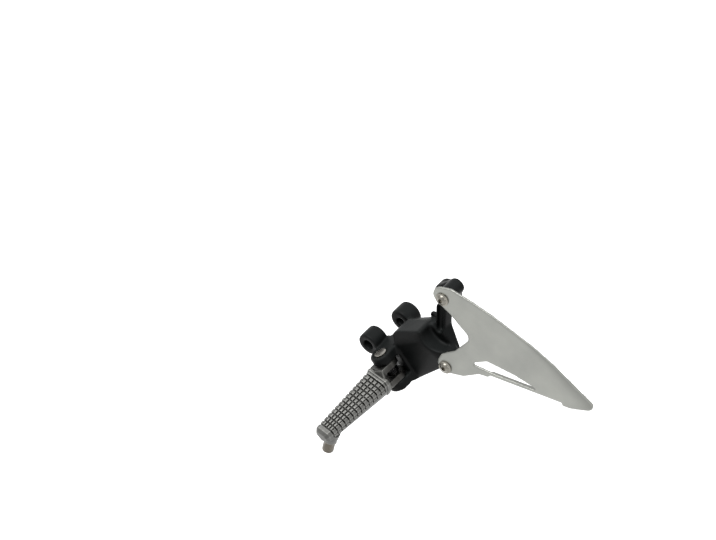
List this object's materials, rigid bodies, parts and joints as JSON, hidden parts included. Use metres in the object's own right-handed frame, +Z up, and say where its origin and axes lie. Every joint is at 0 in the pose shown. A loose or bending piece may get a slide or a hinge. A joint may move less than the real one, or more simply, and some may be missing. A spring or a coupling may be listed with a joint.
{
  "type": "motorcycle rider footpeg assembly",
  "caption": "Left rider footpeg: sprung chequered peg folding on a black cast bracket, with a windowed sheet-metal heel guard bolted behind.",
  "frame": {"origin": "centre of the upper frame-bolt bore, on the boss face that meets the motorcycle's frame", "axes": "+X to the rear of the motorcycle, +Y inboard along the two frame-bolt bores, +Z up; the peg points along -Y"},
  "size_m": [0.2433, 0.1471, 0.1684],
  "materials": {
    "black_casting": "satin",
    "guard_sheet": "brushed",
    "peg_casting": "cast",
    "bright_steel": "plated",
    "dark_steel": "oiled",
    "feeler_steel": "zinc plated"
  },
  "bodies": {
    "mounting": {"bracket": "black_casting", "heel_guard": "guard_sheet", "guard_bolt_upper": "bright_steel", "guard_bolt_lower": "bright_steel", "pivot_pin": "bright_steel", "pin_washer": "bright_steel", "pin_clip": "dark_steel", "return_spring": "dark_steel"},
    "peg": {"peg_body": "peg_casting", "bank_feeler": "feeler_steel"}
  },
  "joints": [
    {"name": "peg_fold", "type": "hinge", "parent": "mounting", "child": "peg", "pos_m": [-0.0288, -0.054, -0.0847], "axis": [-0.5416, -0.1044, 0.8341], "range_deg": [0, 80], "stiffness_Nm_per_rad": 0.12, "springref_deg": -34.38, "deforming": ["return_spring"]}
  ]
}
